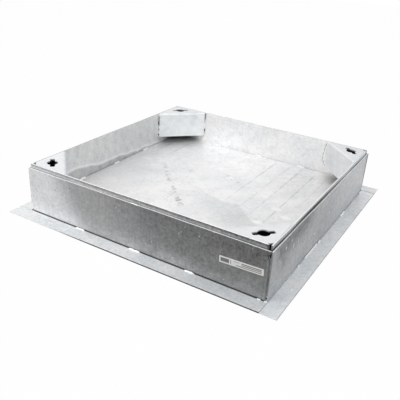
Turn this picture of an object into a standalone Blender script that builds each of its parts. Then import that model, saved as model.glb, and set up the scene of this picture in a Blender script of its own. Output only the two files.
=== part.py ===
"""Recessed paving cover: a galvanised steel tray that holds paving, seated in a welded frame.

Metres, +Z up. The origin is the middle of the frame's underside. The front faces -Y. Every side
of the frame, its foot and the tray is the front one turned about Z: a bar starts flush with the
outside at one corner and butts against its neighbour at the next.
"""

import math

import bmesh
import bpy
from mathutils import Matrix

# Frame: four sides folded from sheet, each an upright wall with a ledge turned inwards at its foot
FRAME_SIDE = 0.660
FRAME_HEIGHT = 0.120
FRAME_SHEET = 0.003
LEDGE_WIDTH = 0.030
FRAME_BEND_INSIDE = 0.003

# Foot: four flat bars laid round the frame and stitch-welded to it
FOOT_WIDTH = 0.038
FOOT_THICKNESS = 0.003
FOOT_ROOT_GAP = 0.0012

# Tray: a floor plate inside four flat walls
TRAY_CLEARANCE = 0.0015
TRAY_WALL = 0.003
TRAY_FLOOR = 0.003
RECESS_DEPTH = 0.100

# Stiffeners under the floor: folded top-hat sections
RIB_COUNT = 7
RIB_DEPTH = 0.0235
RIB_SHEET = 0.002
RIB_WIDTH = 0.048
RIB_CROWN = 0.024
RIB_BEND_INSIDE = 0.002
RIB_MARGIN = 0.060

# Key boxes: a triangular plate in each corner with its long edge folded down
BOX_LEG = 0.113
BOX_DEPTH = 0.078
BOX_SHEET = 0.003
BOX_BEND_INSIDE = 0.002
BOX_VERTEX_CLIP = 0.006
BOX_SIDE_RELIEF = 0.0045
KEY_BORE = 0.027
KEY_SLOT_LENGTH = 0.050
KEY_SLOT_WIDTH = 0.012
KEY_SLOT_CORNER = 0.0015

# Welds. The welder spaced the stitches by eye, so each place is a share of half the side's length
FOOT_STITCH_SHARES = (-0.50, -0.02, 0.44, 0.95)
FLOOR_STITCH_SHARES = (-0.43, 0.02, 0.48)
STITCH_LENGTH = 0.028
STITCH_RADIUS = 0.0026
TACK_LENGTH = 0.012
TACK_DEPTH_SHARES = (0.45, 0.82)

# Sticker on the front wall
LABEL_LENGTH = 0.101
LABEL_HEIGHT = 0.0158
LABEL_THICKNESS = 0.0004
LABEL_CORNER = 0.0015
LABEL_FROM_END = 0.0645
LABEL_ABOVE_BASE = 0.066
LABEL_TILT = math.radians(2.6)

# Shared small sizes
CONTACT_GAP = 0.0003
EDGE_ROUND = 0.0005
CUT_OVERRUN = 0.010
MERGE_DISTANCE = 0.00001

# How finely round stretches are drawn, and the angle past which a fold is shown sharp
ARC_STEPS = 5
BORE_STEPS = 10
CORNER_STEPS = 2
EDGE_STEPS = 2
BEAD_SIDES = 10
BEAD_RINGS = 6
SHARP_ANGLE = math.radians(30)


def bend_rise(radius, distance):
    """How high the hollow of a bend stands above its ledge, at a distance from its wall."""
    reach = max(radius - distance, 0)
    return radius - math.sqrt(radius ** 2 - reach ** 2)


# Sizes that follow from the ones above. The tray's lower edge rests in the hollow of the frame's bend
FRAME_HALF = FRAME_SIDE / 2
TRAY_HALF = FRAME_HALF - FRAME_SHEET - TRAY_CLEARANCE
TRAY_INSIDE = TRAY_HALF - TRAY_WALL
SEAT_LEVEL = FRAME_SHEET + bend_rise(FRAME_BEND_INSIDE, TRAY_CLEARANCE) + CONTACT_GAP
FLOOR_UNDERSIDE = SEAT_LEVEL + RIB_DEPTH + CONTACT_GAP
FLOOR_LEVEL = FLOOR_UNDERSIDE + TRAY_FLOOR
RIM_LEVEL = FLOOR_LEVEL + RECESS_DEPTH
FOOT_INSIDE = FRAME_HALF + FOOT_ROOT_GAP
FOOT_OUTSIDE = FOOT_INSIDE + FOOT_WIDTH

SIDE_NAMES = ("front", "right", "back", "left")
CORNER_NAMES = ("front_left", "front_right", "back_right", "back_left")
QUARTER_TURN = math.pi / 2
EIGHTH_TURN = math.pi / 4


def clear_scene():
    """Removes what a new file starts with."""
    for thing in list(bpy.data.objects):
        bpy.data.objects.remove(thing)


def make_collection(name, parent):
    made = bpy.data.collections.new(name)
    parent.children.link(made)
    return made


def make_material(name, colour, metallic, roughness):
    """A Principled BSDF with one colour."""
    made = bpy.data.materials.new(name)
    made.use_nodes = True
    shader = made.node_tree.nodes["Principled BSDF"]
    shader.inputs["Base Color"].default_value = (*colour, 1.0)
    shader.inputs["Metallic"].default_value = metallic
    shader.inputs["Roughness"].default_value = roughness
    return made


def add_object(name, data, collection):
    made = bpy.data.objects.new(name, data)
    collection.objects.link(made)
    return made


def mesh_from(name, shape):
    """A mesh data block from a bmesh, which is freed."""
    data = bpy.data.meshes.new(name)
    shape.to_mesh(data)
    shape.free()
    return data


def as_guide(cutter):
    """A cutter is drawn as wires and isn't part of the cover."""
    cutter.hide_render = True
    cutter.display_type = "WIRE"
    return cutter


def settled_mesh(thing, name):
    """The mesh of an object with its modifiers carried out, welded, in the object's own space."""
    bpy.context.view_layer.update()
    depsgraph = bpy.context.evaluated_depsgraph_get()
    data = bpy.data.meshes.new_from_object(thing.evaluated_get(depsgraph))
    data.name = name
    shape = bmesh.new()
    shape.from_mesh(data)
    bmesh.ops.remove_doubles(shape, verts=shape.verts, dist=MERGE_DISTANCE)
    shape.to_mesh(data)
    shape.free()
    return data


def finish_shading(data, material):
    """Round stretches are smooth and folded edges stay sharp."""
    data.materials.clear()
    data.materials.append(material)
    data.shade_smooth()
    data.set_sharp_from_angle(angle=SHARP_ANGLE)


def block(name, low, high, collection):
    """A box between two corners."""
    shape = bmesh.new()
    bmesh.ops.create_cube(shape, size=1.0)
    for v in shape.verts:
        v.co = [lo + (hi - lo) * (c + 0.5) for c, lo, hi in zip(v.co, low, high)]
    return add_object(name, mesh_from(name, shape), collection)


def round_edges(thing, width):
    """The soft edge that zinc leaves on cut plate."""
    bevel = thing.modifiers.new("round_edges", "BEVEL")
    bevel.width = width
    bevel.segments = EDGE_STEPS
    bevel.limit_method = "ANGLE"


def arc(centre, radius, start, end, steps):
    """Points along a round stretch, both ends included."""
    angles = [start + (end - start) * i / steps for i in range(steps + 1)]
    return [(centre[0] + radius * math.cos(a), centre[1] + radius * math.sin(a)) for a in angles]


def bent_path(corners, radius):
    """An open path through the corners, with every inner corner turned on the radius."""
    path = [corners[0]]
    for before, corner, after in zip(corners, corners[1:], corners[2:]):
        way_in = math.atan2(corner[1] - before[1], corner[0] - before[0])
        way_out = math.atan2(after[1] - corner[1], after[0] - corner[0])
        turn = (way_out - way_in + math.pi) % (2 * math.pi) - math.pi
        side = math.copysign(1, turn)
        back = radius * math.tan(abs(turn) / 2)
        start = (corner[0] - back * math.cos(way_in), corner[1] - back * math.sin(way_in))
        centre = (start[0] - side * radius * math.sin(way_in), start[1] + side * radius * math.cos(way_in))
        first = way_in - side * QUARTER_TURN
        path += arc(centre, radius, first, first + turn, ARC_STEPS)
    return path + [corners[-1]]


def folded_sheet(name, corners, bend_inside, thickness, start, end, collection):
    """A sheet folded along X from start to end. The corners give the middle of its thickness in Y and Z."""
    path = bent_path(corners, bend_inside + thickness / 2)
    shape = bmesh.new()
    rows = [[shape.verts.new((x, y, z)) for y, z in path] for x in (start, end)]
    for i in range(len(path) - 1):
        shape.faces.new((rows[0][i], rows[1][i], rows[1][i + 1], rows[0][i + 1]))
    sheet = add_object(name, mesh_from(name, shape), collection)
    wall = sheet.modifiers.new("thickness", "SOLIDIFY")
    wall.thickness = thickness
    wall.offset = 0
    wall.use_even_offset = True
    return sheet


def flat_plate(name, outline, low, high, collection):
    """A closed outline in X and Y, made solid between two levels."""
    curve = bpy.data.curves.new(name, "CURVE")
    curve.dimensions = "2D"
    curve.fill_mode = "BOTH"
    curve.extrude = (high - low) / 2
    spline = curve.splines.new("POLY")
    spline.points.add(len(outline) - 1)
    for point, (x, y) in zip(spline.points, outline):
        point.co = (x, y, 0, 1)
    spline.use_cyclic_u = True
    drawn = add_object(name + "_outline", curve, collection)
    data = settled_mesh(drawn, name)
    bpy.data.objects.remove(drawn)
    data.transform(Matrix.Translation((0, 0, (low + high) / 2)))
    return add_object(name, data, collection)


def combine(thing, other, operation):
    """Joins another shape to a piece, cuts it away, or keeps what both share."""
    boolean = thing.modifiers.new(other.name, "BOOLEAN")
    boolean.operation = operation
    boolean.object = other
    boolean.solver = "EXACT"
    as_guide(other)


def bead(name, length, radius, place, collection):
    """A weld bead: a round bar with round ends. It is made along X and then put in its place by a matrix."""
    shape = bmesh.new()
    bmesh.ops.create_uvsphere(shape, u_segments=BEAD_SIDES, v_segments=BEAD_RINGS, radius=radius)
    bmesh.ops.rotate(shape, verts=shape.verts, matrix=Matrix.Rotation(QUARTER_TURN, 3, "Y"))
    reach = length / 2 - radius
    for v in shape.verts:
        v.co.x += math.copysign(reach, v.co.x) if abs(v.co.x) > MERGE_DISTANCE else 0
    data = mesh_from(name, shape)
    data.transform(place)
    return add_object(name, data, collection)


def stitch(piece, shares, half_side, y, z, side, cutters):
    """Welds a row of stitches onto a piece, along one of the four sides."""
    turn = Matrix.Rotation(side * QUARTER_TURN, 4, "Z")
    for i, share in enumerate(shares):
        place = turn @ Matrix.Translation((share * half_side, y, z))
        weld = bead(f"{piece.name}_stitch_{side}_{i}", STITCH_LENGTH, STITCH_RADIUS, place, cutters)
        combine(piece, weld, "UNION")


def four_sides(pattern, stem, material, collection):
    """Settles one piece and sets four of it round the middle, a quarter turn apart."""
    data = settled_mesh(pattern, stem)
    bpy.data.objects.remove(pattern)
    finish_shading(data, material)
    for i, name in enumerate(SIDE_NAMES):
        side = add_object(f"{stem}_{name}", data, collection)
        side.rotation_euler.z = i * QUARTER_TURN


def frame_side(cover, cutters):
    """The front side of the frame: wall and ledge in one folded sheet, its ledge mitred at both ends."""
    middle = FRAME_SHEET / 2
    wall_y = -FRAME_HALF + middle
    corners = [(-FRAME_HALF + LEDGE_WIDTH, middle), (wall_y, middle), (wall_y, FRAME_HEIGHT)]
    wall_inside = FRAME_HALF - FRAME_SHEET
    wall_end = wall_inside - CONTACT_GAP
    side = folded_sheet("frame_side_pattern", corners, FRAME_BEND_INSIDE, FRAME_SHEET,
                        -FRAME_HALF, wall_end, cover)

    far = FRAME_HALF - LEDGE_WIDTH - CUT_OVERRUN
    past = FRAME_HALF + CUT_OVERRUN
    mitre_gap = CONTACT_GAP * math.sqrt(2)
    start_cut = [(-past, -wall_inside), (-wall_inside, -wall_inside), (-far, -far), (-past, -far)]
    end_cut = [(wall_inside - mitre_gap, -wall_inside), (past, -wall_inside), (past, -far),
               (far - mitre_gap, -far)]
    for name, outline in (("mitre_start", start_cut), ("mitre_end", end_cut)):
        prism = flat_plate(name, outline, -CUT_OVERRUN, FRAME_HEIGHT + CUT_OVERRUN, cutters)
        combine(side, prism, "DIFFERENCE")
    return side


def foot_bar(cover, cutters):
    """The front bar of the foot, with the stitch welds that hold it to the frame."""
    bar = block("foot_bar_pattern", (-FOOT_OUTSIDE, -FOOT_OUTSIDE, 0),
                (FOOT_INSIDE - CONTACT_GAP, -FOOT_INSIDE, FOOT_THICKNESS), cover)
    round_edges(bar, EDGE_ROUND)
    weld_y = -(FRAME_HALF + CONTACT_GAP + STITCH_RADIUS)
    stitch(bar, FOOT_STITCH_SHARES, FRAME_HALF, weld_y, FOOT_THICKNESS, 0, cutters)
    return bar


def tray_wall(cover):
    """The front wall of the tray."""
    wall = block("tray_wall_pattern", (-TRAY_HALF, -TRAY_HALF, SEAT_LEVEL),
                 (TRAY_INSIDE - CONTACT_GAP, -TRAY_INSIDE, RIM_LEVEL), cover)
    round_edges(wall, EDGE_ROUND)
    return wall


def tray_floor(cover, cutters, material):
    """The floor plate that the bedding and the paving lie on, with the stitch welds along its edges."""
    reach = TRAY_INSIDE - CONTACT_GAP
    plate = block("floor_plate", (-reach, -reach, FLOOR_UNDERSIDE), (reach, reach, FLOOR_LEVEL), cover)
    weld_y = -(reach - CONTACT_GAP - STITCH_RADIUS)
    for side in range(len(SIDE_NAMES)):
        stitch(plate, FLOOR_STITCH_SHARES, TRAY_INSIDE, weld_y, FLOOR_LEVEL, side, cutters)
    data = settled_mesh(plate, "tray_floor")
    bpy.data.objects.remove(plate)
    finish_shading(data, material)
    add_object("tray_floor", data, cover)


def key_hole_outline(middle_y):
    """A round hole with a slot across it, for a key that is turned under the plate."""
    radius = KEY_BORE / 2
    half_width = KEY_SLOT_WIDTH / 2
    half_length = KEY_SLOT_LENGTH / 2
    meet = math.asin(half_width / radius)
    inner = half_length - KEY_SLOT_CORNER
    rise = half_width - KEY_SLOT_CORNER
    right_end = (arc((inner, -rise), KEY_SLOT_CORNER, -QUARTER_TURN, 0, CORNER_STEPS)
                 + arc((inner, rise), KEY_SLOT_CORNER, 0, QUARTER_TURN, CORNER_STEPS))
    top = arc((0, 0), radius, meet, math.pi - meet, BORE_STEPS)
    half = right_end + top
    outline = half + [(-x, -y) for x, y in half]
    return [(x, y + middle_y) for x, y in outline]


def key_box(cover, cutters):
    """The key box of the front left corner, made with its long edge along X and its vertex towards +Y."""
    height = BOX_LEG / math.sqrt(2)
    half_long_edge = height
    top = -BOX_SHEET / 2
    corners = [(BOX_SHEET / 2, -BOX_DEPTH), (BOX_SHEET / 2, top), (height, top)]
    box = folded_sheet("key_box_pattern", corners, BOX_BEND_INSIDE, BOX_SHEET,
                       -half_long_edge, half_long_edge, cover)

    half_face = half_long_edge - BOX_SIDE_RELIEF
    half_tip = BOX_VERTEX_CLIP
    plan = [(half_face, -CUT_OVERRUN), (half_face, BOX_SIDE_RELIEF), (half_tip, height - half_tip),
            (-half_tip, height - half_tip), (-half_face, BOX_SIDE_RELIEF), (-half_face, -CUT_OVERRUN)]
    prism = flat_plate("box_plan", plan, -BOX_DEPTH - CUT_OVERRUN, CUT_OVERRUN, cutters)
    combine(box, prism, "INTERSECT")

    # The hole sits at the same distance from all three edges of the plate
    inscribed = BOX_LEG * (1 - math.sqrt(0.5))
    hole = flat_plate("key_hole", key_hole_outline(inscribed), -BOX_DEPTH / 2, CUT_OVERRUN, cutters)
    combine(box, hole, "DIFFERENCE")

    # Two tack welds on each side close part of the gap between the folded face and the wall
    tack_y = BOX_SHEET / 2
    tack_radius = (BOX_SIDE_RELIEF - tack_y) / math.sqrt(2)
    upright = Matrix.Rotation(QUARTER_TURN, 4, "Y")
    places = [(side * half_face, -share * BOX_DEPTH) for side in (-1, 1) for share in TACK_DEPTH_SHARES]
    for i, (x, z) in enumerate(places):
        place = Matrix.Translation((x, tack_y, z)) @ upright
        tack = bead(f"box_tack_{i}", TACK_LENGTH, tack_radius, place, cutters)
        combine(box, tack, "UNION")
    return box


def set_key_boxes(cover, cutters, material):
    """Sets a key box in each corner of the tray, flush with its rim."""
    pattern = key_box(cover, cutters)
    data = settled_mesh(pattern, "key_box")
    bpy.data.objects.remove(pattern)
    finish_shading(data, material)
    vertex = (TRAY_INSIDE - CONTACT_GAP) * math.sqrt(2)
    from_middle = vertex - BOX_LEG / math.sqrt(2)
    for i, name in enumerate(CORNER_NAMES):
        towards = -3 * EIGHTH_TURN + i * QUARTER_TURN
        box = add_object(f"key_box_{name}", data, cover)
        box.location = (from_middle * math.cos(towards), from_middle * math.sin(towards), RIM_LEVEL)
        box.rotation_euler.z = towards - QUARTER_TURN


def set_stiffeners(cover, material):
    """Top-hat sections under the floor, evenly spaced, their crowns level with the walls' lower edges."""
    middle = RIB_SHEET / 2
    half_crown = RIB_CROWN / 2 - middle
    top = FLOOR_UNDERSIDE - CONTACT_GAP - middle
    bottom = SEAT_LEVEL + middle
    corners = [(-RIB_WIDTH / 2, top), (-half_crown, top), (-half_crown, bottom),
               (half_crown, bottom), (half_crown, top), (RIB_WIDTH / 2, top)]
    reach = TRAY_INSIDE - CONTACT_GAP
    pattern = folded_sheet("stiffener_pattern", corners, RIB_BEND_INSIDE, RIB_SHEET, -reach, reach, cover)
    data = settled_mesh(pattern, "stiffener")
    bpy.data.objects.remove(pattern)
    finish_shading(data, material)
    outermost = TRAY_INSIDE - RIB_MARGIN
    for i in range(RIB_COUNT):
        rib = add_object(f"stiffener_{i + 1}", data, cover)
        rib.location.x = outermost * (2 * i / (RIB_COUNT - 1) - 1)
        rib.rotation_euler.z = QUARTER_TURN


def set_label(cover, material):
    """The sticker near the right end of the frame's front wall, put on slightly askew."""
    half_length, half_height = LABEL_LENGTH / 2, LABEL_HEIGHT / 2
    x, y = half_length - LABEL_CORNER, half_height - LABEL_CORNER
    outline = []
    for i, centre in enumerate(((x, y), (-x, y), (-x, -y), (x, -y))):
        outline += arc(centre, LABEL_CORNER, i * QUARTER_TURN, (i + 1) * QUARTER_TURN, CORNER_STEPS)
    label = flat_plate("label", outline, CONTACT_GAP, CONTACT_GAP + LABEL_THICKNESS, cover)
    label.rotation_mode = "XYZ"
    label.data.transform(Matrix.Rotation(LABEL_TILT, 4, "Z"))
    label.rotation_euler.x = QUARTER_TURN
    label.location = (FRAME_HALF - LABEL_FROM_END, -FRAME_HALF, LABEL_ABOVE_BASE)
    finish_shading(label.data, material)


def build():
    clear_scene()
    root = bpy.context.scene.collection
    cover = make_collection("recessed_paving_cover", root)
    cutters = make_collection("cutters", root)
    frame_zinc = make_material("galvanised_frame", (0.52, 0.53, 0.54), 1.0, 0.42)
    tray_zinc = make_material("galvanised_tray", (0.60, 0.61, 0.62), 1.0, 0.38)
    paper = make_material("label_paper", (0.80, 0.80, 0.79), 0.0, 0.55)

    four_sides(frame_side(cover, cutters), "frame_side", frame_zinc, cover)
    four_sides(foot_bar(cover, cutters), "foot_bar", frame_zinc, cover)
    four_sides(tray_wall(cover), "tray_wall", tray_zinc, cover)
    tray_floor(cover, cutters, tray_zinc)
    set_stiffeners(cover, tray_zinc)
    set_key_boxes(cover, cutters, tray_zinc)
    set_label(cover, paper)


build()
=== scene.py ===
# %% [markdown]
# # A recessed paving cover in hot-dip galvanised steel
# A deep square tray, which paving blocks are laid in, stands in a square frame with a flat foot round it.
# All of it is 3 mm sheet or flat bar, welded up and then dipped whole into molten zinc. The CAD model gives
# the sizes. This lesson dresses it: each sheet becomes a numpy surface with slow dents, soft folds and edges
# rounded by the zinc, and gets a zinc finish made of nodes. The CAD model is loaded first.

# %% Load the frame
from math import cos, pi, radians, sin, sqrt

import bmesh
import bpy
import numpy as np
from mathutils import Matrix, Vector


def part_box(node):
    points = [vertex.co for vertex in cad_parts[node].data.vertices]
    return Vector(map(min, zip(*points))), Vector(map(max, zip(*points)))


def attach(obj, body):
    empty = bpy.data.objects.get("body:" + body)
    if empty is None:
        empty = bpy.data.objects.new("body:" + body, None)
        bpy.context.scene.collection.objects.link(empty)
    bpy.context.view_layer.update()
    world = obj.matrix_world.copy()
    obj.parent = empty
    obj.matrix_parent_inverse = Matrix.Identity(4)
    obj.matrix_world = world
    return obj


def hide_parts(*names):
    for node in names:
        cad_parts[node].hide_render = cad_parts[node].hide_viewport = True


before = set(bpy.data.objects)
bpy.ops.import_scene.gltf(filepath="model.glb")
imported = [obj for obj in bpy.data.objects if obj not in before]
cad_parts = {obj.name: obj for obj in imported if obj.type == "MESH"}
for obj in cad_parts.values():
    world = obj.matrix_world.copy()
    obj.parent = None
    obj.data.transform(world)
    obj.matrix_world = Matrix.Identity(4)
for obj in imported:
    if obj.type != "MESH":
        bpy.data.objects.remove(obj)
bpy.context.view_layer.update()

# %% [markdown]
# ## Camera
# The view comes from the photograph's vanishing lines: the camera stands to the right of the front, 26
# degrees above the ground, and leans a little to one side. A camera is a turned and moved frame of three
# directions, right, up and back, so it is easiest to write those three down and put them in a matrix.

# %% Camera
AZIMUTH, ELEVATION, ROLL = (radians(a) for a in (29.8531, 26.3607, 3.4658))
LOOK_AT = Vector((0.03231, -0.10517, 0.0525))
DISTANCE = 1.35851
SENSOR_MM, LENS_MM = 36.0, 48.12


def new_object(name, data):
    """An object made of the data, in the scene."""
    made = bpy.data.objects.new(name, data)
    bpy.context.scene.collection.objects.link(made)
    return made


back = Vector((sin(AZIMUTH) * cos(ELEVATION), -cos(AZIMUTH) * cos(ELEVATION), sin(ELEVATION)))
level = Vector((0, 0, 1)).cross(back).normalized()
upright = back.cross(level)
right = cos(ROLL) * level + sin(ROLL) * upright
up = cos(ROLL) * upright - sin(ROLL) * level

camera_data = bpy.data.cameras.new("camera")
camera_data.sensor_width = SENSOR_MM
camera_data.lens = LENS_MM
camera = new_object("camera", camera_data)
placed = Matrix((right, up, back)).transposed().to_4x4()
placed.translation = LOOK_AT + back * DISTANCE
camera.matrix_world = placed
bpy.context.scene.camera = camera
bpy.context.scene.view_settings.view_transform = "Standard"
print("camera at", [round(v, 3) for v in placed.translation])

# %% [markdown]
# ## Colours and nodes
# Colours are written as the hex values that a screen shows, and one function turns them into the linear
# light that the renderer adds up. One small function adds any node: its settings are the node's own
# attributes, and each input is given either a value or another node's output to link to. The commonest
# nodes get a short function each.

# %% Helpers for materials
WHITE = (1, 1, 1, 1)


def linear(hexcode):
    """The sRGB curve undone: c / 12.92 near black, ((c + 0.055) / 1.055) ^ 2.4 above."""
    parts = [int(hexcode[i:i + 2], 16) / 255 for i in (1, 3, 5)]
    return tuple(c / 12.92 if c <= 0.04045 else ((c + 0.055) / 1.055) ** 2.4 for c in parts) + (1.0,)


def add_node(tree, kind, inputs=None, **settings):
    """Adds one node. An input is a value for its socket, or the output that is linked to it."""
    made = tree.nodes.new("ShaderNode" + kind)
    for name, value in settings.items():
        setattr(made, name, value)
    for socket, value in (inputs or {}).items():
        if isinstance(value, bpy.types.NodeSocket):
            tree.links.new(value, made.inputs[socket])
        else:
            made.inputs[socket].default_value = value
    return made


def maths(tree, operation, *values):
    """The result of one operation on one to three values or outputs."""
    return add_node(tree, "Math", dict(enumerate(values)), operation=operation).outputs[0]


def ranged(tree, value, low, high, at_low, at_high, curve="LINEAR"):
    """A value that goes from low to high turned into one that goes from at_low to at_high, and no further."""
    inputs = {0: value, 1: low, 2: high, 3: at_low, 4: at_high}
    return add_node(tree, "MapRange", inputs, interpolation_type=curve).outputs[0]


def blended(tree, share, first, second, blend="MIX"):
    """The first colour where the share is 0 and the second where it is 1."""
    inputs = {"Factor": share, 6: first, 7: second}
    return add_node(tree, "Mix", inputs, data_type="RGBA", blend_type=blend).outputs[2]


def noise(tree, place, scale, detail, roughness=0.5, distortion=0.0):
    """The outputs of a noise: Fac, which swings about 0.5, and Color."""
    inputs = {"Vector": place, "Scale": scale, "Detail": detail, "Roughness": roughness}
    return add_node(tree, "TexNoise", {**inputs, "Distortion": distortion}).outputs


def emptied(owner):
    """The node tree of a material or a world, with no node in it."""
    owner.use_nodes = True
    owner.node_tree.nodes.clear()
    return owner.node_tree


print("the grey #808080 is", round(linear("#808080")[0], 3), "in linear light")

# %% [markdown]
# ## Stage: floor, sky and lamps
# The photograph is a product picture on white. A pale floor takes the object's shadow. For rays from the
# camera, and for those that metal reflects, floor and sky are plain white light of strength 1, or nearly,
# so that the background is white without more light on the object.

# %% Floor and sky
FLOOR_SIZE = 12.0
FLOOR_DROP = 0.0003
FLOOR_COLOUR = "#B4B4B4"
SKY_COLOUR = "#FCFCFE"
SKY_STRENGTH = 0.36
WHITE_SHARE = 0.985


def white_rays(tree):
    """1 for rays from the camera, a reflection or a transmission, and 0 for those that carry soft light."""
    path = add_node(tree, "LightPath").outputs
    shiny = maths(tree, "MAXIMUM", path["Is Camera Ray"], path["Is Glossy Ray"])
    return maths(tree, "MAXIMUM", shiny, path["Is Transmission Ray"])


floor_paint = bpy.data.materials.new("studio_floor_paint")
tree = emptied(floor_paint)
matt = add_node(tree, "BsdfDiffuse", {"Color": linear(FLOOR_COLOUR), "Roughness": 1.0})
white = add_node(tree, "Emission", {"Color": WHITE, "Strength": 1.0})
share = maths(tree, "MULTIPLY", white_rays(tree), WHITE_SHARE)
mixed = add_node(tree, "MixShader", {0: share, 1: matt.outputs[0], 2: white.outputs[0]})
add_node(tree, "OutputMaterial", {"Surface": mixed.outputs[0]})

half = FLOOR_SIZE / 2
floor_corners = [(x * half, y * half, -FLOOR_DROP) for x, y in ((-1, -1), (1, -1), (1, 1), (-1, 1))]
floor_mesh = bpy.data.meshes.new("studio_floor")
floor_mesh.from_pydata(floor_corners, [], [(0, 1, 2, 3)])
floor_mesh.materials.append(floor_paint)
studio_floor = new_object("studio_floor", floor_mesh)

sky = bpy.data.worlds.new("studio_sky")
bpy.context.scene.world = sky
tree = emptied(sky)
soft = add_node(tree, "Background", {"Color": linear(SKY_COLOUR), "Strength": SKY_STRENGTH})
white = add_node(tree, "Background", {"Color": WHITE, "Strength": 1.0})
mixed = add_node(tree, "MixShader", {0: white_rays(tree), 1: soft.outputs[0], 2: white.outputs[0]})
add_node(tree, "OutputWorld", {"Surface": mixed.outputs[0]})
print("floor", FLOOR_SIZE, "m square, and a white sky")

# %% [markdown]
# Three soft boxes light the cover: a large one high above, which makes the level plates the brightest, a
# smaller one at the front left, which brightens the left end of the front wall, and a weak, slightly cool
# one at the right, since the right wall looks cooler. The one above doesn't mirror in the metal, or the
# tray's floor would burn out seen from above.

# %% Lamps
COOL_LIGHT = (0.87, 0.94, 1.0)


def soft_box(name, size, power, place, aim):
    """A square area lamp that points from its place to its aim."""
    data = bpy.data.lights.new(name, "AREA")
    data.shape = "SQUARE"
    data.size = size
    data.energy = power
    lamp = new_object(name, data)
    lamp.location = place
    lamp.rotation_euler = (Vector(aim) - Vector(place)).to_track_quat("-Z", "Y").to_euler()
    return lamp


top_box = soft_box("top_soft_box", size=2.2, power=18.0, place=(-0.05, 0.0, 2.2), aim=(0, 0, 0))
top_box.visible_glossy = False
soft_box("front_left_soft_box", size=1.0, power=19.0, place=(-0.9, -1.4, 1.3), aim=(-0.1, 0, 0.05))
right_box = soft_box("right_soft_box", size=1.2, power=10.0, place=(1.6, -0.6, 1.1), aim=(0, 0, 0.05))
right_box.data.color = COOL_LIGHT
print("three soft boxes")

# %% [markdown]
# ## Sheet metal as grids
# Every piece here is a sheet, so each is a surface of two parameters through the middle of its thickness,
# worked out as whole arrays. A Solidify modifier gives it the thickness and a Bevel rounds the cut edges,
# as dipping in zinc does. Rolled sheet is never quite flat: a few long sine waves with seeded directions
# and phases give each sheet its own slow dents, which show in how the light runs over it.

# %% Helpers for shapes
SHEET = 0.003
HELD_BACK = 0.00002
FINE_ENDS = np.array([0.0008, 0.002, 0.0042])


def grid_faces(rows, columns):
    """Quads between neighbouring points, where point (i, j) has the number i * columns + j."""
    first = (np.arange(rows - 1)[:, None] * columns + np.arange(columns - 1)).ravel()
    return np.stack([first, first + 1, first + columns + 1, first + columns], axis=1)


def with_fine_ends(start, end, spacing):
    """Evenly spaced numbers from start to end, with a few closer ones at both ends for crisp edges."""
    even = np.linspace(start, end, int(round((end - start) / spacing)) + 1)
    places = [even[:1], start + FINE_ENDS, even[2:-2], end - FINE_ENDS, even[-1:]]
    return np.unique(np.concatenate(places).round(6))


def waviness(a, b, height, seed, shortest=0.12, longest=0.42, waves=6):
    """The mean of a few sine waves over the plane of a and b, each with its own length, direction and
    phase, times the height."""
    rng = np.random.default_rng(seed)
    length = rng.uniform(shortest, longest, waves)
    angle = rng.uniform(0, pi, waves)
    phase = rng.uniform(0, 2 * pi, waves)
    along = (a[..., None] * np.cos(angle) + b[..., None] * np.sin(angle)) / length
    return height * np.sin(2 * pi * along + phase).mean(axis=-1)


def turned(points, turns):
    """Turns points about the upright axis by a number of quarter turns."""
    c, s = round(cos(turns * pi / 2)), round(sin(turns * pi / 2))
    x, y, z = np.moveaxis(points, -1, 0)
    return np.stack([c * x - s * y, s * x + c * y, z], axis=-1)


print("sheet", SHEET, "m thick")

# %% [markdown]
# The tone of a sheet is a sum of ramps, which may also run backwards, and of bells round places on it.

# %% Helpers for tones
def ramp(x, start, end):
    """0 at the start and before it, 1 from the end on, and 3 t^2 - 2 t^3 between."""
    t = np.clip((x - start) / (end - start), 0, 1)
    return t * t * (3 - 2 * t)


def bell(x, middle, width):
    """A bell curve: e ^ -((x - middle) / width)^2."""
    return np.exp(-((x - middle) / width) ** 2)


def near_spot(a, b, middle, width_a, width_b):
    """A bell curve round one spot, with its own width each way."""
    return bell(a, middle[0], width_a) * bell(b, middle[1], width_b)


def spots(a, b, table):
    """The sum of bells round spots. A row has the strength, the middle's two places and the two widths."""
    return sum(strength * near_spot(a, b, (mid_a, mid_b), width_a, width_b)
               for strength, mid_a, mid_b, width_a, width_b in table)


def near_path(a, b, corners, width):
    """A bell curve of the distance to a path of straight pieces: e ^ -(distance / width)^2."""
    nearest = np.full(np.shape(a), np.inf)
    for (a0, b0), (a1, b1) in zip(corners, corners[1:]):
        da, db = a1 - a0, b1 - b0
        t = np.clip(((a - a0) * da + (b - b0) * db) / (da ** 2 + db ** 2), 0, 1)
        nearest = np.minimum(nearest, (a - a0 - t * da) ** 2 + (b - b0 - t * db) ** 2)
    return np.exp(-nearest / width ** 2)


print("a ramp at its quarters", ramp(np.linspace(0, 1, 5), 0, 1))

# %% [markdown]
# A piece rides on the body in place of CAD nodes. It carries two numbers for each point, which its finish
# reads: the first goes from bright, 0, to dark, 1, and holds painted light and shade as well as the zinc's
# own patches and a sticker's print; the second goes from clean, 0, to black, 1, and holds painted shade
# and the dirt in a seam.

# %% Helpers for pieces
MERGE_DISTANCE = 0.00001
EDGE_ROUND = 0.0006
EDGE_STEPS = 2
SIDES = ("front", "right", "back", "left")
pieces = {}


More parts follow.
